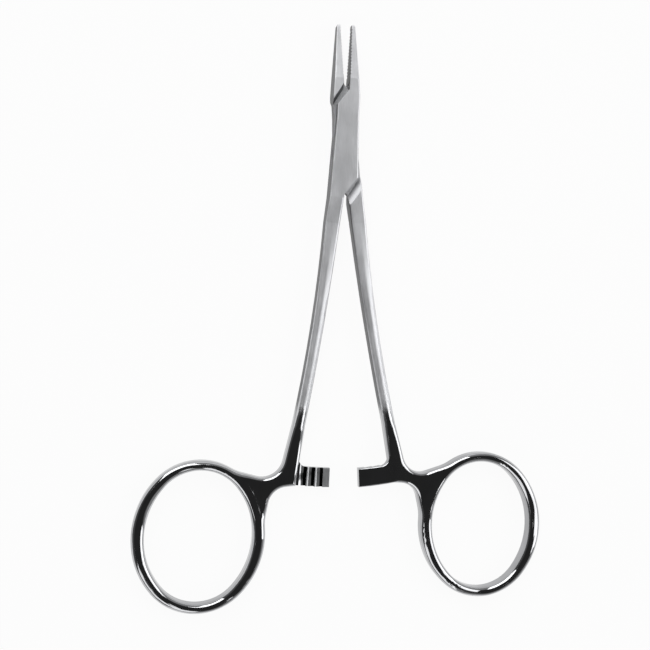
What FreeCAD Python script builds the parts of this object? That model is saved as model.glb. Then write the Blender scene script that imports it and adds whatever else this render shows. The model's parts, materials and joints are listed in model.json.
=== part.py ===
import FreeCAD, Part
import math
import os
import Sketcher

# Surgical needle holder, 13 cm, box-lock pattern.
# Two forged halves cross in a box lock and turn on one flush rivet pin.
# Origin: pivot axis, in the plane that the lock lies on. +Y to the jaw tips, +Z up, millimetres.
# Each half is drawn in the closed pose and then swung out by half_open about the pivot.

SIZES = {
    # Opening shown at rest, and the hairline left between the bite faces when shut
    "half_open": 2.75,
    "bite_gap": 0.02,
    # Box lock: half widths from the jaw root to the shank root, and where they lie
    "lock_thickness": 4.2,
    "leaf_thickness": 1.35,
    "tongue_clearance": 0.05,
    "lock_clearance": 0.12,
    "lock_front": 14.6,
    "lock_shoulder": 10.8,
    "lock_shoulder_half": 2.5,
    "lock_waist": 6.0,
    "lock_waist_half": 2.45,
    "lock_rear": 11.4,
    "lock_rear_half": 3.17,
    "lock_rounding": 0.35,
    # Diagonals of the lock, where each meets the centre line
    "lock_slope": 54.0,
    "lock_cut_reach": 4.5,
    "leaf_front": 12.2,
    "leaf_rear": 10.8,
    "slot_front": 14.0,
    "slot_rear": 11.0,
    "front_ramp": 1.3,
    "rear_ramp": 3.0,
    # Rivet pin
    "pin_radius": 1.1,
    "pin_head_flare": 0.35,
    "pin_running_gap": 0.03,
    # Jaws
    "jaw_reach": 26.4,
    "jaw_root_width": 2.06,
    "jaw_tip_width": 0.8,
    "jaw_tip_thickness": 1.7,
    "jaw_tip_rounding": 0.15,
    "jaw_edge_break": 0.1,
    "jaw_nose_length": 0.35,
    "jaw_nose_bevel": 0.2,
    "groove_start": 15.2,
    "groove_pitch": 0.7,
    "groove_count": 15,
    "groove_depth": 0.16,
    # Shanks: inner edge and width at the neck, the waist and the hand part
    "shank_thickness": 3.2,
    "neck_station": 17.0,
    "neck_inner": 0.47,
    "neck_width": 3.3,
    "neck_rounding": 0.5,
    "waist_station": 41.0,
    "waist_inner": 3.05,
    "waist_width": 2.57,
    "waist_rounding": 0.6,
    "hand_rise": 11.1,
    "hand_inner": 5.93,
    "hand_width": 2.75,
    # Finger rings: place of the near side and the top, then the oval hole and the band around it
    "hand_thickness": 3.4,
    "hand_rounding": 0.9,
    "hand_end_rounding": 1.0,
    "ring_near_side": 13.45,
    "ring_top_rise": 3.4,
    "ring_hole_width": 23.15,
    "ring_hole_length": 28.75,
    "ring_side_band": 2.75,
    "ring_end_band": 2.1,
    "ring_fullness": 0.28,
    # Web that joins ring, shank and ratchet arm: its two hollow corners and where it runs into the ring
    "saddle_x": 11.2,
    "saddle_drop": 1.05,
    "saddle_radius": 4.5,
    "saddle_angle": 66.0,
    "web_corner_x": 12.6,
    "web_corner_drop": 2.35,
    "web_radius": 4.2,
    "web_angle": 7.0,
    "web_sink": 0.45,
    "blend_radius": 9.0,
    # Ratchet arms: middle radius about the pivot, and their section
    "arm_radius": 73.1,
    "arm_width": 4.2,
    "arm_thickness": 1.6,
    "arm_gap": 0.1,
    "arm_overlap": 0.35,
    "arm_burial": 1.4,
    "arm_rounding": 0.35,
    "arm_corner_radius": 1.8,
    "arm_corner_lean": 0.2,
    "tooth_pitch": 1.83,
    "tooth_count": 3,
    "tooth_depth": 0.65,
    "tooth_crest": 0.2,
    "tooth_undercut": 0.1,
    "tooth_land": 1.3,
    "tooth_root_land": 0.65,
}


# Two places closer than this are the same place
NEARLY = 0.01


class Size:
    """A number together with the formula that it comes from."""

    def __init__(self, value, formula):
        self.value = value
        self.formula = formula

    def __add__(self, other):
        other = as_size(other)
        return Size(self.value + other.value, f"({self.formula} + {other.formula})")

    def __sub__(self, other):
        other = as_size(other)
        return Size(self.value - other.value, f"({self.formula} - {other.formula})")

    def __mul__(self, other):
        other = as_size(other)
        return Size(self.value * other.value, f"({self.formula} * {other.formula})")

    def __truediv__(self, other):
        other = as_size(other)
        return Size(self.value / other.value, f"({self.formula} / {other.formula})")

    def __neg__(self):
        return Size(-self.value, f"(0 - {self.formula})")

    __radd__ = __add__
    __rmul__ = __mul__

    def __rsub__(self, other):
        return as_size(other) - self


def as_size(number):
    if isinstance(number, Size):
        return number
    return Size(float(number), repr(float(number)))


def size(alias):
    """The named cell of the sheet."""
    return Size(SIZES[alias], f"Sizes.{alias}")


def tangent(angle):
    return Size(math.tan(math.radians(angle.value)), f"tan({angle.formula})")


def sine(angle):
    return Size(math.sin(math.radians(angle.value)), f"sin({angle.formula})")


def cosine(angle):
    return Size(math.cos(math.radians(angle.value)), f"cos({angle.formula})")


def root(square):
    return Size(math.sqrt(square.value), f"sqrt({square.formula})")


def degrees_of_arc(length, radius):
    """Angle, in degrees, of an arc of that length."""
    return length / radius * (180 / math.pi)


def fill_sheet(doc):
    sheet = doc.addObject("Spreadsheet::Sheet", "Sizes")
    for row, (alias, number) in enumerate(SIZES.items(), start=1):
        sheet.set(f"A{row}", alias)
        sheet.set(f"B{row}", str(number))
        sheet.setAlias(f"B{row}", alias)
    doc.recompute()


def origin_feature(body, role):
    return next(item for item in body.Origin.OriginFeatures if item.Role == role)


def new_sketch(body, name, plane, lift):
    """Sketch on one of the body's own planes, moved along that plane's normal."""
    sketch = body.newObject("Sketcher::SketchObject", name)
    sketch.AttachmentSupport = [(origin_feature(body, plane), "")]
    sketch.MapMode = "FlatFace"
    sketch.setExpression("AttachmentOffset.Base.z", as_size(lift).formula)
    return sketch


def fix(sketch, kind, place, length):
    """Constraint on a point or edge, bound to the sheet."""
    length = as_size(length)
    number = sketch.addConstraint(Sketcher.Constraint(kind, *place, length.value))
    sketch.setExpression(f"Constraints[{number}]", length.formula)


def fix_point(sketch, edge, end, x, y):
    fix(sketch, "DistanceX", (-1, 1, edge, end), x)
    fix(sketch, "DistanceY", (-1, 1, edge, end), y)


def arc_between(start, end, radius, turns_left):
    """Arc from start to end, and whether it runs the way that arcs do, to the left."""
    chord = end - start
    across = FreeCAD.Vector(-chord.y, chord.x, 0).normalize()
    drop = math.sqrt(radius ** 2 - (chord.Length / 2) ** 2)
    centre = (start + end) / 2 + across * (drop if turns_left else -drop)
    circle = Part.Circle(centre, FreeCAD.Vector(0, 0, 1), radius)
    first, last = (start, end) if turns_left else (end, start)
    return Part.ArcOfCircle(circle, circle.parameter(first), circle.parameter(last))


def outline(body, name, plane, lift, corners):
    """Closed sketch through corners (x, y) or (x, y, radius).

    A radius belongs to the edge that follows its corner: positive bulges out, negative hollows in.
    """
    sketch = new_sketch(body, name, plane, lift)
    points = [FreeCAD.Vector(as_size(c[0]).value, as_size(c[1]).value, 0) for c in corners]
    ring = list(zip(points, points[1:] + points[:1]))
    runs_left = sum(a.x * b.y - b.x * a.y for a, b in ring) > 0
    ends = []
    for (start, end), corner in zip(ring, corners):
        if len(corner) == 2:
            sketch.addGeometry(Part.LineSegment(start, end), False)
            ends.append((1, 2))
        else:
            turns_left = (corner[2].value > 0) == runs_left
            sketch.addGeometry(arc_between(start, end, abs(corner[2].value), turns_left), False)
            ends.append((1, 2) if turns_left else (2, 1))
    for edge, corner in enumerate(corners):
        following = (edge + 1) % len(corners)
        join = Sketcher.Constraint("Coincident", edge, ends[edge][1], following, ends[following][0])
        sketch.addConstraint(join)
        fix_point(sketch, edge, ends[edge][0], corner[0], corner[1])
        if len(corner) == 3:
            radius = corner[2] if corner[2].value > 0 else -corner[2]
            fix(sketch, "Radius", (edge,), radius)
    return sketch


def oval(body, name, lift, x, y, half_width, half_length):
    """Oval of four tangent arcs, longer than it is wide, in a plane at height lift."""
    pointed = half_width * half_width / half_length
    end_radius = pointed + (half_width - pointed) * size("ring_fullness")
    end_centre = half_length - end_radius
    spare = half_width * half_width + end_centre * end_centre - end_radius * end_radius
    side_radius = spare / ((half_width - end_radius) * 2)
    between = side_radius - end_radius
    join_x = end_radius * (side_radius - half_width) / between
    join_y = end_centre * side_radius / between
    corners = [
        (x + join_x, y + join_y, end_radius),
        (x - join_x, y + join_y, side_radius),
        (x - join_x, y - join_y, end_radius),
        (x + join_x, y - join_y, side_radius),
    ]
    return outline(body, name, "XY_Plane", lift, corners)


def section(body, name, side, station, inner, outer, thickness, inner_rounding, outer_rounding):
    """Rounded rectangle across the half, centred on the middle of the lock's thickness."""
    middle = size("lock_thickness") / 2
    low = middle - thickness / 2
    high = middle + thickness / 2
    corners = [
        (side * (inner + inner_rounding), low),
        (side * (outer - outer_rounding), low, outer_rounding),
        (side * outer, low + outer_rounding),
        (side * outer, high - outer_rounding, outer_rounding),
        (side * (outer - outer_rounding), high),
        (side * (inner + inner_rounding), high, inner_rounding),
        (side * inner, high - inner_rounding),
        (side * inner, low + inner_rounding, inner_rounding),
    ]
    return outline(body, name, "XZ_Plane", -station, corners)


def extrude(body, name, sketch, length, cut=False):
    """Pad up from the sketch, or pocket down from it."""
    feature = body.newObject("PartDesign::Pocket" if cut else "PartDesign::Pad", name)
    feature.Profile = sketch
    feature.setExpression("Length", as_size(length).formula)
    return feature


def loft(body, name, sections, ruled=True, cut=False):
    feature = body.newObject("PartDesign::SubtractiveLoft" if cut else "PartDesign::AdditiveLoft", name)
    feature.Profile = sections[0]
    feature.Sections = sections[1:]
    feature.Ruled = ruled
    return feature


def dress(body, name, kind, base, wanted, amount):
    """Fillet or chamfer on the edges of base that pass the test."""
    body.Document.recompute()
    names = [f"Edge{n}" for n, edge in enumerate(base.Shape.Edges, start=1) if wanted(edge)]
    if not names:
        raise RuntimeError(f"{body.Label}: no edge for {name}")
    feature = body.newObject(f"PartDesign::{kind}", name)
    feature.Base = (base, names)
    feature.setExpression("Radius" if kind == "Fillet" else "Size", amount.formula)
    return feature


def is_upright(edge):
    box = edge.BoundBox
    return box.XLength + box.YLength < NEARLY < box.ZLength


def plan_distance(edge, place):
    """How far an upright edge lies from a place in plan."""
    centre = edge.BoundBox.Center
    return math.hypot(centre.x - place[0].value, centre.y - place[1].value)


def upright_at(place):
    """Test for the upright edge at a place in plan."""
    def wanted(edge):
        return is_upright(edge) and plan_distance(edge, place) < NEARLY
    return wanted


def run_out(shape, start, end):
    """Test for the upright edge, in line with start and end, that lies nearest the end."""
    line = FreeCAD.Vector(end[0].value - start[0].value, end[1].value - start[1].value, 0).normalize()

    def off_line(edge):
        centre = edge.BoundBox.Center
        return abs((centre.x - start[0].value) * line.y - (centre.y - start[1].value) * line.x)
    in_line = [edge for edge in shape.Edges if is_upright(edge) and off_line(edge) < NEARLY]
    chosen = min(in_line, key=lambda edge: plan_distance(edge, end))
    return chosen.isSame


def level_at(edge, heights):
    box = edge.BoundBox
    return box.ZLength < NEARLY and any(abs(box.ZMin - height.value) < NEARLY for height in heights)


def on_ratchet(radius, along):
    """Point on the ratchet's arc, a distance along it from the centre line."""
    x = along * radius / ratchet_radius()
    return x, -root(radius * radius - x * x)


def ratchet_radius():
    return size("arm_radius")


def arm_inner():
    return size("arm_radius") - size("arm_width") / 2


def arm_outer():
    return size("arm_radius") + size("arm_width") / 2


def hand_station():
    """Where the shank ends and the hand part begins, as a distance behind the pivot."""
    return size("arm_radius") - size("hand_rise")


def first_crest():
    return size("tooth_land") - size("arm_overlap")


def ratchet_root():
    """Where the arm leaves the shank, as a distance along the arc from the centre line."""
    return first_crest() + size("tooth_pitch") * size("tooth_count") + size("tooth_root_land")


def lock_block(body):
    """Full-thickness block of the lock, waisted in plan and rounded along its four long edges."""
    rounding = size("lock_rounding")
    sections = []
    for place, station, half_width in (
            ("rear", -size("lock_rear"), size("lock_rear_half")),
            ("waist", size("lock_waist"), size("lock_waist_half")),
            ("shoulder", size("lock_shoulder"), size("lock_shoulder_half")),
            ("front", size("lock_front"), size("jaw_root_width"))):
        sections.append(section(
            body, f"lock_{place}_section", 1, station, -half_width, half_width,
            size("lock_thickness"), rounding, rounding))
    return loft(body, "lock_block", sections)


def cut_diagonals(body, jaw, front_line, rear_line):
    """Take the far side away ahead of the front diagonal, and the near side behind the rear one."""
    reach = size("lock_cut_reach")
    fall = tangent(size("lock_slope")) * reach
    gap = size("bite_gap")
    front_end = size("lock_front") + size("lock_clearance")
    rear_end = -(size("lock_rear") + size("lock_clearance"))
    top = size("lock_thickness")
    front = [
        (jaw * gap, front_line),
        (-jaw * reach, front_line - fall),
        (-jaw * reach, front_end),
        (jaw * gap, front_end),
    ]
    rear = [
        (-jaw * gap, rear_line),
        (jaw * reach, rear_line + fall),
        (jaw * reach, rear_end),
        (-jaw * gap, rear_end),
    ]
    extrude(body, "front_diagonal", outline(body, "front_plan", "XY_Plane", top, front), top, cut=True)
    return extrude(body, "rear_diagonal", outline(body, "rear_plan", "XY_Plane", top, rear), top, cut=True)


def cut_slot(body, jaw):
    """The slot between the leaves, open on both sides, that the tongue passes through."""
    reach = size("lock_cut_reach")
    fall = tangent(size("lock_slope")) * reach
    front = size("slot_front")
    rear = -size("slot_rear")
    plan = [
        (as_size(0), front),
        (jaw * reach, front - fall),
        (jaw * reach, rear),
        (as_size(0), rear),
        (-jaw * reach, rear + fall),
        (-jaw * reach, front),
    ]
    top = size("lock_thickness") - size("leaf_thickness")
    sketch = outline(body, "slot_plan", "XY_Plane", top, plan)
    return extrude(body, "slot", sketch, top - size("leaf_thickness"), cut=True)


def cut_tongue(body, jaw, name, face, beyond):
    """Thin one side of the male half to the tongue, with a ramp up to the jaw and one to the shank."""
    reach = size("lock_cut_reach")
    fall = tangent(size("lock_slope")) * reach
    gap = size("bite_gap")
    past = size("lock_front") + size("lock_clearance")

    def plan(front_shift, rear_shift):
        front = size("leaf_front") + size("lock_clearance") + front_shift
        rear = -(size("leaf_rear") + size("lock_clearance") + rear_shift)
        return [
            (jaw * gap, front),
            (jaw * reach, front - fall),
            (jaw * reach, rear),
            (-jaw * gap, rear),
            (-jaw * reach, rear + fall),
            (-jaw * reach, past),
            (jaw * gap, past),
        ]
    foot = outline(body, f"{name}_foot", "XY_Plane", face, plan(as_size(0), as_size(0)))
    brow = outline(body, f"{name}_brow", "XY_Plane", beyond, plan(size("front_ramp"), size("rear_ramp")))
    return loft(body, name, [foot, brow], cut=True)


def bore(body, name, radius):
    """Round hole for the pin, right through the lock."""
    sketch = new_sketch(body, f"{name}_plan", "XY_Plane", size("lock_thickness"))
    sketch.addGeometry(Part.Circle(FreeCAD.Vector(), FreeCAD.Vector(0, 0, 1), radius.value), False)
    sketch.addConstraint(Sketcher.Constraint("Coincident", 0, 3, -1, 1))
    fix(sketch, "Radius", (0,), radius)
    return extrude(body, name, sketch, size("lock_thickness"), cut=True)


def forge_jaw(body, jaw):
    """Tapered jaw with a bevelled nose, flat on its bite face, and the grooves across that face."""
    gap = size("bite_gap")
    tip = size("jaw_reach")
    nose = size("jaw_nose_length")
    stations = [
        ("jaw_root", size("lock_front"), size("jaw_root_width"), size("lock_thickness"), size("lock_rounding")),
        ("jaw_end", tip - nose, size("jaw_tip_width"), size("jaw_tip_thickness"), size("jaw_tip_rounding")),
        ("jaw_nose", tip, size("jaw_tip_width") - size("jaw_nose_bevel"),
         size("jaw_tip_thickness") - size("jaw_nose_bevel") * 2, size("jaw_tip_rounding")),
    ]
    sections = [
        section(body, name, jaw, station, gap, outer, thickness, size("jaw_edge_break"), rounding)
        for name, station, outer, thickness, rounding in stations
    ]
    loft(body, "jaw", sections)
    start = size("groove_start")
    pitch = size("groove_pitch")
    notch = [
        (as_size(0), start),
        (jaw * (gap + size("groove_depth")), start + pitch / 2),
        (as_size(0), start + pitch),
    ]
    top = size("lock_thickness")
    groove = extrude(body, "bite_groove", outline(body, "groove_plan", "XY_Plane", top, notch), top, cut=True)
    pattern = body.newObject("PartDesign::LinearPattern", "bite_grooves")
    pattern.Originals = [groove]
    pattern.Direction = (origin_feature(body, "Y_Axis"), [""])
    pattern.setExpression("Length", (pitch * (size("groove_count") - 1)).formula)
    pattern.setExpression("Occurrences", size("groove_count").formula)
    body.Tip = pattern
    return pattern


def forge_shank(body, shank):
    """Neck behind the lock, then the long bowed shank down to the hand part."""
    rounding = size("lock_rounding")
    lock_end = section(
        body, "neck_start", shank, -size("lock_rear"), size("bite_gap"), size("lock_rear_half"),
        size("lock_thickness"), rounding, rounding)

    def across(name, place, station, thickness, rounding):
        inner = size(f"{place}_inner")
        outer = inner + size(f"{place}_width")
        return section(body, name, shank, -station, inner, outer, thickness, rounding, rounding)
    thickness = size("shank_thickness")
    neck = (size("neck_station"), thickness, size("neck_rounding"))
    waist = (size("waist_station"), thickness, size("waist_rounding"))
    hand = (hand_station(), size("hand_thickness"), size("hand_end_rounding"))
    loft(body, "neck", [lock_end, across("neck_end", "neck", *neck)])
    sections = [
        across("neck_section", "neck", *neck),
        across("waist_section", "waist", *waist),
        across("hand_section", "hand", *hand),
    ]
    return loft(body, "shank", sections, ruled=False)


def forge_hand(body, shank):
    """Finger ring, the web that joins it to the shank, and their blends and rounded edges."""
    middle = size("lock_thickness") / 2
    thickness = size("hand_thickness")
    low = middle - thickness / 2
    high = middle + thickness / 2
    hole = (size("ring_hole_width") / 2, size("ring_hole_length") / 2)
    rim = (hole[0] + size("ring_side_band"), hole[1] + size("ring_end_band"))
    ring_x = shank * (size("ring_near_side") + rim[0])
    ring_y = -(size("arm_radius") - size("ring_top_rise") + rim[1])
    extrude(body, "ring_disc", oval(body, "ring_rim", low, ring_x, ring_y, *rim), thickness)

    def on_ring(angle):
        """Place just inside the rim, at an angle above the line from the ring's centre to its near side."""
        sink = size("web_sink")
        return ring_x - shank * (rim[0] - sink) * cosine(angle), ring_y + (rim[1] - sink) * sine(angle)
    inner = size("hand_inner")
    station = -hand_station()
    root_inner = on_ratchet(arm_inner(), ratchet_root())
    root_outer = on_ratchet(arm_outer(), ratchet_root())
    saddle = (shank * size("saddle_x"), -(size("arm_radius") + size("saddle_drop")))
    saddle_end = on_ring(size("saddle_angle"))
    web_corner = (shank * size("web_corner_x"), -(size("arm_radius") + size("web_corner_drop")))
    web_end = on_ring(size("web_angle"))
    plan = [
        (shank * inner, station),
        (shank * (inner + size("hand_width")), station),
        saddle,
        saddle_end,
        (ring_x, ring_y),
        web_end,
        web_corner,
        (shank * root_outer[0], root_outer[1]),
        (shank * root_inner[0], root_inner[1]),
    ]
    web = extrude(body, "web", outline(body, "web_plan", "XY_Plane", low, plan), thickness)
    web = dress(body, "saddle_blend", "Fillet", web, upright_at(saddle), size("saddle_radius"))
    web = dress(body, "web_blend", "Fillet", web, upright_at(web_corner), size("web_radius"))
    for name, start, end in (("saddle_run_out", saddle, saddle_end), ("web_run_out", web_corner, web_end)):
        body.Document.recompute()
        web = dress(body, name, "Fillet", web, run_out(web.Shape, start, end), size("blend_radius"))
    opened = extrude(body, "finger_hole", oval(body, "ring_bore", high, ring_x, ring_y, *hole), thickness, cut=True)

    def near_root(point):
        ends = (root_inner, root_outer)
        return min(math.hypot(point.x - shank * end[0].value, point.y - end[1].value) for end in ends) < NEARLY

    def rim_edge(edge):
        ends = [vertex.Point for vertex in edge.Vertexes]
        at_shank = all(abs(point.y - station.value) < NEARLY for point in ends)
        at_arm = all(near_root(point) for point in ends)
        in_hand = edge.BoundBox.YMax < station.value + NEARLY
        return level_at(edge, (low, high)) and in_hand and not (at_shank or at_arm)
    rounded = dress(body, "hand_rounding", "Fillet", opened, rim_edge, size("hand_rounding"))
    rounded.Refine = False
    return rounded


def forge_arm(body, shank, up):
    """Ratchet arm in one half of the thickness, with its teeth towards the middle."""
    middle = size("lock_thickness") / 2
    inner = arm_inner()
    outer = arm_outer()
    end = -size("arm_overlap")
    buried = ratchet_root() + size("arm_burial")
    corner = size("arm_corner_radius")
    end_inner = on_ratchet(inner, end)
    end_outer = on_ratchet(outer, end)
    root_outer = on_ratchet(outer, buried)
    fillet_start = on_ratchet(inner, ratchet_root() - corner)
    shank_point = (on_ratchet(inner, ratchet_root())[0] - size("arm_corner_lean"),
                   on_ratchet(inner, ratchet_root())[1] + corner)
    inside = (on_ratchet(inner, buried)[0], shank_point[1])
    plan = [
        (shank * end_outer[0], end_outer[1], outer),
        (shank * root_outer[0], root_outer[1]),
        (shank * inside[0], inside[1]),
        (shank * shank_point[0], shank_point[1], -corner),
        (shank * fillet_start[0], fillet_start[1], -inner),
        (shank * end_inner[0], end_inner[1]),
    ]
    crest = middle + size("arm_gap") / 2 * up
    low = crest if up > 0 else crest - size("arm_thickness")
    back = crest + size("arm_thickness") * up
    arm = extrude(body, "ratchet_arm", outline(body, "arm_plan", "XY_Plane", low, plan), size("arm_thickness"))

    def back_edge(edge):
        box = edge.BoundBox
        on_arm = abs(box.Center.x) < ratchet_root().value and box.YMax < corner.value - inner.value
        return level_at(edge, (back,)) and on_arm and box.XLength > 1
    dress(body, "arm_rounding", "Fillet", arm, back_edge, size("arm_rounding"))

    start = first_crest()
    steep = start + size("tooth_crest")
    outside = crest - size("arm_thickness") / 4 * up
    valley = crest + size("tooth_depth") * up
    notch = [
        (shank * steep, outside),
        (shank * steep, crest),
        (shank * (steep + size("tooth_undercut")), valley),
        (shank * (start + size("tooth_pitch")), crest),
        (shank * (start + size("tooth_pitch")), outside),
    ]
    back_of_arm = outer + size("arm_thickness")
    sketch = outline(body, "tooth_profile", "XZ_Plane", back_of_arm, notch)
    tooth = extrude(body, "tooth", sketch, outer - inner + size("arm_thickness") * 2, cut=True)
    pattern = body.newObject("PartDesign::PolarPattern", "teeth")
    pattern.Originals = [tooth]
    pattern.Axis = (origin_feature(body, "Z_Axis"), [""])
    pattern.Reversed = shank < 0
    whole = degrees_of_arc(size("tooth_pitch") * (size("tooth_count") - 1), ratchet_radius())
    pattern.setExpression("Angle", whole.formula)
    pattern.setExpression("Occurrences", size("tooth_count").formula)
    body.Tip = pattern
    return pattern


def new_body(doc, name, turn):
    """Body whose placement swings it out from the closed pose."""
    body = doc.addObject("PartDesign::Body", name)
    body.Label = name
    body.AllowCompound = True
    body.Placement = FreeCAD.Placement(FreeCAD.Vector(), FreeCAD.Rotation(FreeCAD.Vector(0, 0, 1), turn.value))
    body.setExpression("Placement.Rotation.Angle", turn.formula)
    return body


def make_box_half(doc):
    """Female half: right jaw, the two leaves of the lock, left shank and ring, lower ratchet arm."""
    jaw = 1
    body = new_body(doc, "box_half", -size("half_open"))
    forge_hand(body, -jaw)
    lock_block(body)
    cut_diagonals(body, jaw, size("leaf_front"), -size("leaf_rear"))
    forge_jaw(body, jaw)
    forge_shank(body, -jaw)
    forge_arm(body, -jaw, -1)
    cut_slot(body, jaw)
    bored = bore(body, "pin_hole", size("pin_radius"))

    def mouth(edge):
        box = edge.BoundBox
        centred = math.hypot(box.Center.x, box.Center.y) < size("pin_head_flare").value
        return level_at(edge, (as_size(0), size("lock_thickness"))) and centred and (
            abs(box.XLength - 2 * size("pin_radius").value) < NEARLY)
    dress(body, "pin_countersink", "Chamfer", bored, mouth, size("pin_head_flare"))
    return body


def make_tongue_half(doc):
    """Male half: left jaw, the thin tongue of the lock, right shank and ring, upper ratchet arm."""
    jaw = -1
    body = new_body(doc, "tongue_half", size("half_open"))
    forge_hand(body, -jaw)
    lock_block(body)
    cut_diagonals(
        body, jaw, size("slot_front") - size("lock_clearance"), -(size("slot_rear") - size("lock_clearance")))
    forge_jaw(body, jaw)
    forge_shank(body, -jaw)
    forge_arm(body, -jaw, 1)
    leaf = size("leaf_thickness") + size("tongue_clearance")
    spare = size("lock_clearance")
    cut_tongue(body, jaw, "top_relief", size("lock_thickness") - leaf, size("lock_thickness") + spare)
    cut_tongue(body, jaw, "bottom_relief", leaf, -spare)
    bore(body, "pin_hole", size("pin_radius") + size("pin_running_gap"))
    return body


def make_hinge_pin(doc):
    """Rivet pin, peened into the countersinks of both leaves and ground flush."""
    body = new_body(doc, "hinge_pin", -size("half_open"))
    radius = size("pin_radius")
    flare = size("pin_head_flare")
    length = size("lock_thickness")
    profile = [
        (as_size(0), as_size(0)),
        (radius + flare, as_size(0)),
        (radius, flare),
        (radius, length - flare),
        (radius + flare, length),
        (as_size(0), length),
    ]
    sketch = outline(body, "pin_profile", "XZ_Plane", 0, profile)
    pin = body.newObject("PartDesign::Revolution", "pin")
    pin.Profile = sketch
    pin.ReferenceAxis = (sketch, ["V_Axis"])
    pin.Angle = 360
    return body


def check(doc, bodies):
    for item in doc.Objects:
        if "Invalid" in item.State or "Error" in item.State:
            raise RuntimeError(f"{item.Name} failed: {item.State}")
    for body in bodies:
        shape = body.Shape
        if shape.isNull() or not shape.isValid() or len(shape.Solids) != 1:
            raise RuntimeError(f"{body.Label} isn't one valid solid")


def main():
    doc = FreeCAD.newDocument("needle_holder")
    fill_sheet(doc)
    bodies = [make_box_half(doc), make_tongue_half(doc), make_hinge_pin(doc)]
    doc.recompute()
    check(doc, bodies)
    os.makedirs("parts", exist_ok=True)
    for body in bodies:
        body.Shape.exportStep(f"parts/{body.Label}.step")
        print(body.Label, "volume", round(body.Shape.Volume, 2))


main()
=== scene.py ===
"""Looks of a surgical needle holder: satin and mirror-polished steel on a white studio table.

The instrument's shapes are the solids from the frame. This script gives them their steel, and
sets up the camera, the table, the room and the soft boxes. Lengths are in metres.
"""

from __future__ import annotations

import json
import logging
import math
from dataclasses import dataclass
from enum import Enum

import bmesh
import bpy
from mathutils import Matrix, Vector

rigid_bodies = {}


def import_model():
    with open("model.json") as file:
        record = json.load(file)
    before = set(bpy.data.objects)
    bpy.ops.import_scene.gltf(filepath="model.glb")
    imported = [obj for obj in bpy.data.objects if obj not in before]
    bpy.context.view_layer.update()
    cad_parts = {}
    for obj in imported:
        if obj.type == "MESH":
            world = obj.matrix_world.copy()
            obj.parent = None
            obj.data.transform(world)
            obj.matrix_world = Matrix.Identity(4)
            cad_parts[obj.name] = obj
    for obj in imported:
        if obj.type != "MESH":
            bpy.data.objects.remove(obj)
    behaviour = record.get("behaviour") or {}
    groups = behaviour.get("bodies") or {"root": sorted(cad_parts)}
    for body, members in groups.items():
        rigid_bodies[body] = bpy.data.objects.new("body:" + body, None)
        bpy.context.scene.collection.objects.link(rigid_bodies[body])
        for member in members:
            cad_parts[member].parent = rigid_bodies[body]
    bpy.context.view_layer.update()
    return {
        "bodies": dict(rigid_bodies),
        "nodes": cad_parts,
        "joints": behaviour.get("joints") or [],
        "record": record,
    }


MM = 0.001
NOISE_MIDDLE = 0.5

Socket = bpy.types.NodeSocket
Term = Socket | float | tuple[float, ...]
Span = tuple[float, float]
Station = tuple[float, float]

log = logging.getLogger("needle_holder")


class Piece(Enum):
    """The instrument's pieces, by the names of their nodes."""

    BOX_HALF = "box_half"
    TONGUE_HALF = "tongue_half"
    HINGE_PIN = "hinge_pin"


class Axis(Enum):
    """Main directions of the instrument, as components of a vector."""

    ACROSS = "X"
    ALONG = "Y"
    UP = "Z"


class Sum(Enum):
    """Arithmetic that a node can do."""

    ABOVE = "GREATER_THAN"
    ABSOLUTE = "ABSOLUTE"
    BELOW = "LESS_THAN"
    LARGER = "MAXIMUM"
    MINUS = "SUBTRACT"
    OVER = "DIVIDE"
    ROOT = "SQRT"
    TIMES = "MULTIPLY"
    TIMES_PLUS = "MULTIPLY_ADD"


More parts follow.
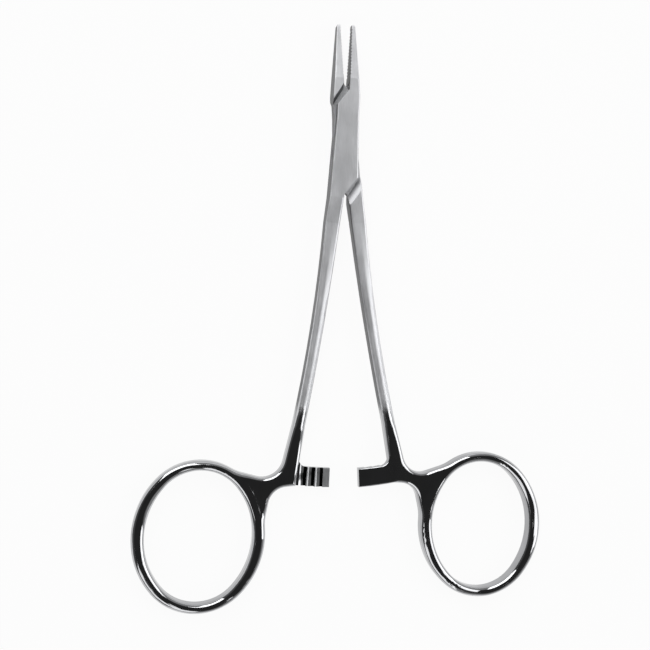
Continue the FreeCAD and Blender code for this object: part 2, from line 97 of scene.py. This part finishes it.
class Graph:
    """Short way to write the node tree of a material or of the world."""

    def __init__(self, owner: bpy.types.Material | bpy.types.World) -> None:
        """Start an empty tree.

        Args:
            owner: What the tree belongs to.
        """
        owner.use_nodes = True
        self.tree = owner.node_tree
        self.tree.nodes.clear()

    def node(self, kind: str, **settings: str) -> bpy.types.Node:
        """Add a node.

        Args:
            kind: Blender's type name of the node.
            **settings: Properties to set on it.

        Returns:
            The new node.
        """
        made = self.tree.nodes.new(kind)
        for name, value in settings.items():
            setattr(made, name, value)
        return made

    def feed(self, node: bpy.types.Node, sources: dict[str | int, Term]) -> None:
        """Give a node's inputs their values.

        Args:
            node: The node.
            sources: For each input, by its name or place, a value or another node's output.
        """
        for name, source in sources.items():
            socket = node.inputs[name]
            if isinstance(source, Socket):
                self.tree.links.new(source, socket)
            else:
                socket.default_value = source

    def math(self, operation: Sum, *terms: Term) -> Socket:
        """Do arithmetic on numbers or sockets.

        Args:
            operation: What to do.
            *terms: The terms, in their order.

        Returns:
            The result.
        """
        made = self.node("ShaderNodeMath", operation=operation.value)
        self.feed(made, dict(enumerate(terms)))
        return made.outputs["Value"]

    def minus(self, first: Term, second: Term) -> Socket:
        """Return the first term less the second."""
        return self.math(Sum.MINUS, first, second)

    def over(self, first: Term, second: Term) -> Socket:
        """Return the first term divided by the second."""
        return self.math(Sum.OVER, first, second)

    def times_plus(self, first: Term, second: Term, third: Term) -> Socket:
        """Return the product of the first two terms, with the third added."""
        return self.math(Sum.TIMES_PLUS, first, second, third)

    def times(self, *terms: Term) -> Socket:
        """Multiply two or more terms.

        Args:
            *terms: The terms.

        Returns:
            Their product.
        """
        product, *others = terms
        for term in others:
            product = self.math(Sum.TIMES, product, term)
        return product

    def between(self, share: Term, at_none: Term, at_full: Term) -> Socket:
        """Go from one value to another in proportion to a share.

        Args:
            share: The share, from 0 to 1.
            at_none: Result for a share of 0.
            at_full: Result for a share of 1.

        Returns:
            The result.
        """
        return self.times_plus(share, self.minus(at_full, at_none), at_none)

    def ramp(self, value: Term, span: Span, at_low: Term = 0.0, at_high: Term = 1.0) -> Socket:
        """Make a smooth step.

        Args:
            value: The value that varies.
            span: Where the step starts and ends, the lower limit first.
            at_low: Result at and below the lower limit.
            at_high: Result at and above the upper limit.

        Returns:
            The result.
        """
        made = self.node("ShaderNodeMapRange", interpolation_type="SMOOTHSTEP")
        self.feed(made, {"Value": value, "From Min": span[0], "From Max": span[1],
                         "To Min": at_low, "To Max": at_high})
        return made.outputs["Result"]

    def parts(self, vector: Socket) -> dict[Axis, Socket]:
        """Take a vector apart.

        Args:
            vector: The vector.

        Returns:
            Its component on each axis.
        """
        made = self.node("ShaderNodeSeparateXYZ")
        self.feed(made, {"Vector": vector})
        return {axis: made.outputs[axis.value] for axis in Axis}

    def bump(self, height: Socket, distance: float = 1.0, strength: float = 1.0,
             under: Socket | None = None) -> Socket:
        """Raise a surface.

        Args:
            height: How far each point is raised, in units of the distance.
            distance: One unit of height. With the usual one, heights are in metres.
            strength: Share of the effect that is used.
            under: Normal of the surface that is raised, unless it is the piece's own.

        Returns:
            Normal of the raised surface.
        """
        made = self.node("ShaderNodeBump")
        self.feed(made, {"Height": height, "Distance": distance, "Strength": strength})
        if under is not None:
            self.feed(made, {"Normal": under})
        return made.outputs["Normal"]

    def show(self, shader: bpy.types.Node, output: str = "ShaderNodeOutputMaterial") -> None:
        """Use a shader as the tree's result.

        Args:
            shader: The shader's node.
            output: Blender's type name of the output node.
        """
        self.feed(self.node(output), {"Surface": shader.outputs[0]})


@dataclass(frozen=True)
class Grain:
    """Irregular pattern that is about one half on average.

    The cells are counted per metre. A small number in stretch draws them out along that axis.
    """

    cells: float
    detail: float
    stretch: tuple[float, float, float] = (1.0, 1.0, 1.0)

    def make(self, graph: Graph, place: Socket) -> Socket:
        """Lay the pattern on a piece.

        Args:
            graph: The graph of the piece's material.
            place: Coordinates on the piece.

        Returns:
            The pattern's strength at each point.
        """
        drawn_out = graph.node("ShaderNodeMapping")
        graph.feed(drawn_out, {"Vector": place, "Scale": self.stretch})
        made = graph.node("ShaderNodeTexNoise")
        graph.feed(made, {"Vector": drawn_out.outputs["Vector"], "Scale": self.cells,
                          "Detail": self.detail})
        return made.outputs["Fac"]


@dataclass(frozen=True)
class Spot:
    """Where a point lies on a piece, and how level the surface is there.

    The level is 1 on a flat top and 0 on an upright side. The sideways distance has no sign,
    because the two halves are mirror images in outline.
    """

    place: Socket
    along: Socket
    sideways: Socket
    height: Socket
    level: Socket

    @classmethod
    def read(cls, graph: Graph) -> Spot:
        """Read the piece's own coordinates.

        Args:
            graph: The graph of the piece's material.

        Returns:
            The spot.
        """
        own = graph.node("ShaderNodeTexCoord")
        place = graph.parts(own.outputs["Object"])
        normal = graph.parts(own.outputs["Normal"])
        return cls(
            place=own.outputs["Object"],
            along=place[Axis.ALONG],
            sideways=graph.math(Sum.ABSOLUTE, place[Axis.ACROSS]),
            height=place[Axis.UP],
            level=graph.math(Sum.ABSOLUTE, normal[Axis.UP]),
        )


@dataclass(frozen=True)
class Surface:
    """What the steel's tone, roughness and relief all start from, at each point.

    Brushed and cloudy are patterns. Polish, land and the painted shade between the teeth are
    shares from 0 to 1.
    """

    spot: Spot
    brushed: Socket
    cloudy: Socket
    polish: Socket
    land: Socket
    # Where shade is painted, between the ratchet teeth.
    painted_hollow_shade: Socket


@dataclass(frozen=True)
class PolishBorder:
    """Soft, uneven border on the lower shanks, where the satin gives way to mirror polish."""

    satin_until: float = -55.5 * MM
    mirror_from: float = -60.5 * MM
    wander: float = 3.0 * MM
    drift: Grain = Grain(320.0, 2.0)

    def polish(self, graph: Graph, spot: Spot) -> Socket:
        """Find how far the polish has taken over.

        Args:
            graph: The steel's graph.
            spot: Where the point lies.

        Returns:
            0 on satin and 1 on full polish.
        """
        drift = graph.minus(self.drift.make(graph, spot.place), NOISE_MIDDLE)
        edge = graph.times_plus(drift, self.wander, spot.along)
        return graph.ramp(edge, (self.mirror_from, self.satin_until), 1.0, 0.0)


@dataclass(frozen=True)
class RatchetTeeth:
    """The teeth that face up on the lower ratchet arm, found by the box that they fill.

    Their crests and the land at the arm's end are matt, and the hollows between them get painted
    shade.
    """

    behind: float = -66.0 * MM
    half_width: float = 9.6 * MM
    top: float = 2.1 * MM
    land_height: float = 1.93 * MM
    least_level: float = 0.3

    def lands_and_painted_shade(self, graph: Graph, spot: Spot) -> tuple[Socket, Socket]:
        """Find the lands, and the hollows between the teeth that get painted shade.

        Args:
            graph: The steel's graph.
            spot: Where the point lies.

        Returns:
            Two shares: 1 on a land, and 1 between the teeth, where shade is painted.
        """
        toothed = graph.times(
            graph.math(Sum.BELOW, spot.along, self.behind),
            graph.math(Sum.BELOW, spot.sideways, self.half_width),
            graph.math(Sum.BELOW, spot.height, self.top),
            graph.math(Sum.ABOVE, spot.level, self.least_level),
        )
        land = graph.times(toothed, graph.math(Sum.ABOVE, spot.height, self.land_height))
        # The second share is where shade is painted, between the teeth.
        return land, graph.minus(toothed, land)


@dataclass(frozen=True)
class RingRelief:
    """Rounded crown and polishing streaks on the bands of the finger rings.

    The middle of a band is taken as an oval, and distances from it are shares of its radius. One
    oval serves both rings, because they are mirror images at rest and every piece keeps its own
    coordinates when it turns.
    """

    across: float = 31.88 * MM
    along: float = -84.7 * MM
    half_width: float = 12.95 * MM
    half_length: float = 15.4 * MM
    crown_height: float = 0.13 * MM
    crown_reach: float = 0.11
    streak_height: float = 0.10 * MM
    streak_fade: Span = (0.077, 0.154)
    streaks_across: float = 16.0
    streaks_around: float = 1.6
    streaks: Grain = Grain(1.0, 1.0)

    def height(self, graph: Graph, spot: Spot) -> Socket:
        """Find how high the relief stands.

        Args:
            graph: The steel's graph.
            spot: Where the point lies.

        Returns:
            The height.
        """
        across = graph.over(graph.minus(spot.sideways, self.across), self.half_width)
        along = graph.over(graph.minus(spot.along, self.along), self.half_length)
        squares = graph.times_plus(across, across, graph.times(along, along))
        reach = graph.math(Sum.ROOT, squares)
        around = graph.node("ShaderNodeCombineXYZ")
        graph.feed(around, dict(enumerate((
            graph.times(reach, self.streaks_across),
            graph.times(graph.over(across, reach), self.streaks_around),
            graph.times(graph.over(along, reach), self.streaks_around),
        ))))
        streaks = self.streaks.make(graph, around.outputs["Vector"])
        off_middle = graph.math(Sum.ABSOLUTE, graph.minus(reach, 1.0))
        crown = graph.ramp(off_middle, (0.0, self.crown_reach), self.crown_height, 0.0)
        streak_height = graph.ramp(off_middle, self.streak_fade, self.streak_height, 0.0)
        return graph.times_plus(streaks, streak_height, crown)


@dataclass(frozen=True)
class ShankRidge:
    """Soft ridge along the middle of each shank, which catches the light as a narrow line.

    The middle line is a smooth curve through four stations, each a place along and one across.
    """

    stations: tuple[Station, ...] = (
        (-12.0 * MM, 2.38 * MM),
        (-30.0 * MM, 4.64 * MM),
        (-48.0 * MM, 7.57 * MM),
        (-66.0 * MM, 11.25 * MM),
    )
    half_width: float = 1.45 * MM
    ridge_height: float = 0.32 * MM
    rear_fade: Span = (-66.0 * MM, -58.0 * MM)
    front_fade: Span = (-38.0 * MM, -12.0 * MM)

    def middle(self, graph: Graph, along: Socket) -> Socket:
        """Follow the middle line, by divided differences of its stations.

        Args:
            graph: The steel's graph.
            along: Place along the instrument.

        Returns:
            Place of the middle line across the instrument.
        """
        places = [station[0] for station in self.stations]
        factors = [station[1] for station in self.stations]
        last = len(factors) - 1
        for order in range(1, last + 1):
            for index in range(last, order - 1, -1):
                change = factors[index] - factors[index - 1]
                factors[index] = change / (places[index] - places[index - order])
        line = factors[last]
        for index in range(last - 1, -1, -1):
            line = graph.times_plus(graph.minus(along, places[index]), line, factors[index])
        return line

    def height(self, graph: Graph, spot: Spot) -> Socket:
        """Find how high the ridge stands.

        Args:
            graph: The steel's graph.
            spot: Where the point lies.

        Returns:
            The height.
        """
        middle = self.middle(graph, spot.along)
        off_middle = graph.math(Sum.ABSOLUTE, graph.minus(spot.sideways, middle))
        return graph.times(
            graph.ramp(off_middle, (0.0, self.half_width), self.ridge_height, 0.0),
            graph.ramp(spot.along, self.rear_fade),
            graph.ramp(spot.along, self.front_fade, 1.0, 0.0),
        )


@dataclass(frozen=True)
class SteelTone:
    """How light the steel is.

    Brushing and clouds dull it a little. The rounded edges between tops and flanks get a painted
    highlight, and the flanks and the hollows between the teeth get painted shade.
    """

    colour: tuple[float, float, float] = (0.62, 0.625, 0.64)
    satin: float = 1.40
    mirror: float = 0.88
    brushed_share: float = 0.5
    cloud_span: Span = (0.25, 0.75)
    cloud_tone: float = 0.84
    # Painted highlight: the rounded edges between tops and flanks are made lighter.
    edge_highlight_gain: float = 0.05
    edge_highlight_rise: Span = (0.45, 0.70)
    edge_highlight_fall: Span = (0.90, 0.985)
    # Painted shade: the flanks are made darker, the satin ones more than the polished ones.
    painted_flank_shade_levels: Span = (0.30, 0.74)
    satin_painted_flank_shade: float = 0.80
    mirror_painted_flank_shade: float = 0.25
    # Painted shade: the hollows between the ratchet teeth are made dark.
    painted_hollow_tone: float = 0.08

    def make(self, graph: Graph, surface: Surface) -> Socket:
        """Colour the steel.

        Args:
            graph: The steel's graph.
            surface: The surface at the point.

        Returns:
            The colour.
        """
        level = surface.spot.level
        brushed = graph.minus(surface.brushed, NOISE_MIDDLE)
        shade = graph.times_plus(brushed, self.brushed_share, surface.cloudy)
        clouded = graph.ramp(shade, self.cloud_span, self.cloud_tone, 1.0)
        # Painted highlight on the rounded edges where a top turns into a flank.
        edge_highlight = graph.times(graph.ramp(level, self.edge_highlight_rise),
                             graph.ramp(level, self.edge_highlight_fall, 1.0, 0.0))
        # Painted shade on the flanks, deeper on the satin.
        shaded_flank = graph.ramp(level, self.painted_flank_shade_levels, 1.0, 0.0)
        flank_shade_depth = graph.between(surface.polish, self.satin_painted_flank_shade, self.mirror_painted_flank_shade)
        tone = graph.times(
            graph.times_plus(edge_highlight, self.edge_highlight_gain, clouded),
            graph.minus(1.0, graph.times(shaded_flank, flank_shade_depth)),
            # Painted shade between the ratchet teeth.
            graph.between(surface.painted_hollow_shade, 1.0, self.painted_hollow_tone),
            graph.between(surface.polish, self.satin, self.mirror),
        )
        tinted = graph.node("ShaderNodeVectorMath", operation="SCALE")
        graph.feed(tinted, {0: self.colour, "Scale": tone})
        return tinted.outputs["Vector"]


@dataclass(frozen=True)
class SteelRoughness:
    """How rough the steel is: satin varies with brushing and clouds, polish with wiping marks."""

    satin: float = 0.50
    brushed_spread: float = 0.16
    cloudy_spread: float = 0.12
    mirror: float = 0.07
    wiped_spread: float = 0.07
    wiped_middle: float = 0.42
    least: float = 0.03
    land_share: float = 0.15
    wiping: Grain = Grain(700.0, 3.0, (0.4, 1.0, 1.0))

    def make(self, graph: Graph, surface: Surface) -> Socket:
        """Find the roughness.

        Args:
            graph: The steel's graph.
            surface: The surface at the point.

        Returns:
            The roughness.
        """
        brushed = graph.minus(surface.brushed, NOISE_MIDDLE)
        cloudy = graph.minus(surface.cloudy, NOISE_MIDDLE)
        satin = graph.times_plus(brushed, self.brushed_spread, self.satin)
        satin = graph.times_plus(cloudy, self.cloudy_spread, satin)
        wiped = graph.minus(self.wiping.make(graph, surface.spot.place), self.wiped_middle)
        mirror = graph.times_plus(wiped, self.wiped_spread, self.mirror)
        mirror = graph.math(Sum.LARGER, mirror, self.least)
        shine = graph.times(surface.polish, graph.between(surface.land, 1.0, self.land_share))
        return graph.between(shine, satin, mirror)


@dataclass(frozen=True)
class SteelRelief:
    """Relief that is too fine for the solids.

    Brushing and clouds lie under the ridge of the shanks, and under the slow waves and the ring
    relief that hand polishing leaves.
    """

    grain_height: float = 0.008 * MM
    grain_strength: float = 0.35
    fine_share: float = 0.12
    cloud_height: float = 0.06 * MM
    cloud_strength: float = 0.25
    wave_height: float = 0.62 * MM
    fine: Grain = Grain(2600.0, 3.0)
    waves: Grain = Grain(170.0, 0.0, (1.0, 1.0, 0.3))
    rings: RingRelief = RingRelief()
    ridge: ShankRidge = ShankRidge()

    def make(self, graph: Graph, surface: Surface) -> Socket:
        """Raise the surface.

        Args:
            graph: The steel's graph.
            surface: The surface at the point.

        Returns:
            Normal of the raised surface.
        """
        spot = surface.spot
        brushed = graph.times(surface.brushed, graph.minus(1.0, surface.polish))
        grain = graph.times_plus(self.fine.make(graph, spot.place), self.fine_share, brushed)
        normal = graph.bump(grain, self.grain_height, self.grain_strength)
        normal = graph.bump(surface.cloudy, self.cloud_height, self.cloud_strength, normal)
        waves = graph.times_plus(self.waves.make(graph, spot.place), self.wave_height,
                                 self.rings.height(graph, spot))
        height = graph.times_plus(waves, surface.polish, self.ridge.height(graph, spot))
        return graph.bump(height, under=normal)


@dataclass(frozen=True)
class InstrumentSteel:
    """Stainless steel: satin from the tips down the shanks, and mirror-polished from there on."""

    name: str = "instrument_steel"
    brushing: Grain = Grain(9000.0, 4.0, (1.0, 0.06, 1.0))
    clouding: Grain = Grain(260.0, 3.0, (1.0, 0.5, 1.0))
    border: PolishBorder = PolishBorder()
    teeth: RatchetTeeth = RatchetTeeth()
    tone: SteelTone = SteelTone()
    roughness: SteelRoughness = SteelRoughness()
    relief: SteelRelief = SteelRelief()

    def make(self) -> bpy.types.Material:
        """Build the material.

        Returns:
            The finished material.
        """
        material = bpy.data.materials.new(self.name)
        graph = Graph(material)
        spot = Spot.read(graph)
        # The second share marks where shade is painted, between the ratchet teeth.
        land, painted_hollow_shade = self.teeth.lands_and_painted_shade(graph, spot)
        surface = Surface(
            spot=spot,
            brushed=self.brushing.make(graph, spot.place),
            cloudy=self.clouding.make(graph, spot.place),
            polish=self.border.polish(graph, spot),
            land=land,
            painted_hollow_shade=painted_hollow_shade,
        )
        shader = graph.node("ShaderNodeBsdfPrincipled")
        graph.feed(shader, {
            "Base Color": self.tone.make(graph, surface),
            "Metallic": 1.0,
            "Roughness": self.roughness.make(graph, surface),
            "Normal": self.relief.make(graph, surface),
        })
        graph.show(shader)
        return material


@dataclass(frozen=True)
class NeedleHolder:
    """The whole instrument: two halves and the pin that they turn on."""

    steel: InstrumentSteel = InstrumentSteel()

    def build(self, frame: dict) -> None:
        """Give every solid its steel.
        """
        material = self.steel.make()
        for piece in Piece:
            solid = frame["nodes"][piece.value]
            solid.data.materials.clear()
            solid.data.materials.append(material)
            log.info("dressed %s", piece.value)


@dataclass(frozen=True)
class PhotoCamera:
    """Camera that stands close above the table, to the left of the instrument.

    Its place, its turn and its focal length lay the solids' outline on the photo's.
    """

    name: str = "photo_camera"
    place: tuple[float, float, float] = (-0.045035, -0.03475, 0.2011)
    right: tuple[float, float, float] = (0.9797, 0.0040, 0.2005)
    up: tuple[float, float, float] = (0.0006, 0.9997, -0.0226)
    focal_pixels: float = 923.6
    image_pixels: float = 650.0
    sensor_width: float = 36.0
    nearest: float = 5.0 * MM

    def build(self) -> None:
        """Stand the camera and make it the scene's own."""
        data = bpy.data.cameras.new(self.name)
        data.sensor_width = self.sensor_width
        data.lens = self.focal_pixels / self.image_pixels * self.sensor_width
        data.clip_start = self.nearest
        camera = bpy.data.objects.new(self.name, data)
        bpy.context.scene.collection.objects.link(camera)
        right = Vector(self.right).normalized()
        back = right.cross(Vector(self.up)).normalized()
        up = back.cross(right)
        turn = Matrix((right, up, back)).transposed().to_4x4()
        camera.matrix_world = Matrix.Translation(Vector(self.place)) @ turn
        bpy.context.scene.camera = camera


@dataclass(frozen=True)
class StudioTable:
    """White table that the instrument lies on."""

    name: str = "table_top"
    half_width: float = 0.6
    drop: float = 0.02 * MM
    colour: tuple[float, float, float] = (0.86, 0.86, 0.86)
    glow: float = 1.0
    glow_share: float = 0.94

    def build(self) -> None:
        """Make the table top, just under the instrument."""
        mesh = bpy.data.meshes.new(self.name)
        shape = bmesh.new()
        bmesh.ops.create_grid(shape, x_segments=1, y_segments=1, size=self.half_width)
        bmesh.ops.translate(shape, verts=shape.verts, vec=(0, 0, -self.drop))
        shape.to_mesh(mesh)
        shape.free()
        table = bpy.data.objects.new(self.name, mesh)
        bpy.context.scene.collection.objects.link(table)
        mesh.materials.append(self.finish())

    def finish(self) -> bpy.types.Material:
        """Make a surface that looks white, also in the steel, and keeps the shadow.

        Returns:
            The table's material.
        """
        material = bpy.data.materials.new("white_table")
        graph = Graph(material)
        matt = graph.node("ShaderNodeBsdfDiffuse")
        graph.feed(matt, {"Color": (*self.colour, 1.0)})
        glow = graph.node("ShaderNodeEmission")
        graph.feed(glow, {"Strength": self.glow})
        path = graph.node("ShaderNodeLightPath")
        seen = graph.math(Sum.LARGER, path.outputs["Is Camera Ray"], path.outputs["Is Glossy Ray"])
        blend = graph.node("ShaderNodeMixShader")
        graph.feed(blend, {0: graph.times(seen, self.glow_share), 1: matt.outputs["BSDF"],
                           2: glow.outputs["Emission"]})
        graph.show(blend)
        return material


@dataclass(frozen=True)
class StudioRoom:
    """Pale room, darker to the left and dark overhead, where the camera stands.

    Its values are light strengths. The wall turns from the left one to the right one over
    wall_turn, the horizon ends at horizon_top, and both are components of a direction. The dark
    patch is measured in degrees from straight up.
    """

    name: str = "studio_room"
    horizon: float = 0.60
    left_wall: float = 0.12
    right_wall: float = 0.42
    overhead: float = 0.035
    wall_turn: Span = (-0.7, 0.4)
    horizon_top: float = 0.18
    dark_within: float = 31.0
    pale_beyond: float = 60.0

    def build(self) -> None:
        """Set the world."""
        world = bpy.data.worlds.new(self.name)
        bpy.context.scene.world = world
        graph = Graph(world)
        way = graph.parts(graph.node("ShaderNodeTexCoord").outputs["Generated"])
        dark = math.cos(math.radians(self.dark_within))
        pale = math.cos(math.radians(self.pale_beyond))
        wall = graph.ramp(way[Axis.ACROSS], self.wall_turn, self.left_wall, self.right_wall)
        wall = graph.ramp(way[Axis.UP], (0.0, self.horizon_top), self.horizon, wall)
        light = graph.node("ShaderNodeBackground")
        strength = graph.ramp(way[Axis.UP], (pale, dark), wall, self.overhead)
        graph.feed(light, {"Strength": strength})
        graph.show(light, "ShaderNodeOutputWorld")


@dataclass(frozen=True)
class SoftBox:
    """Square soft box, aimed at the middle of the instrument."""

    name: str
    place: tuple[float, float, float]
    side: float
    watts: float

    def build(self) -> None:
        """Hang the soft box."""
        data = bpy.data.lights.new(self.name, "AREA")
        data.energy = self.watts
        data.size = self.side
        lamp = bpy.data.objects.new(self.name, data)
        bpy.context.scene.collection.objects.link(lamp)
        place = Vector(self.place)
        aim = (-place).to_track_quat("-Z", "Y").to_matrix().to_4x4()
        lamp.matrix_world = Matrix.Translation(place) @ aim


@dataclass(frozen=True)
class Studio:
    """Everything around the instrument."""

    camera: PhotoCamera = PhotoCamera()
    table: StudioTable = StudioTable()
    room: StudioRoom = StudioRoom()
    soft_boxes: tuple[SoftBox, ...] = (
        SoftBox("key_soft_box", place=(-0.26, 0.66, 0.54), side=0.8, watts=5.2),
        SoftBox("right_soft_box", place=(0.66, -0.03, 0.50), side=0.65, watts=2.5),
        SoftBox("front_soft_box", place=(-0.25, -0.65, 0.5), side=0.6, watts=1.5),
    )

    def build(self) -> None:
        """Build the studio, and show colours as they are."""
        for part in (self.camera, self.table, self.room, *self.soft_boxes):
            part.build()
            log.info("built %s", part.name)
        bpy.context.scene.view_settings.view_transform = "Standard"


def main() -> None:
    """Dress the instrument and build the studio."""
    logging.basicConfig(level=logging.INFO, format="%(message)s")
    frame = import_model()
    NeedleHolder().build(frame)
    Studio().build()


if __name__ == "__main__":
    main()
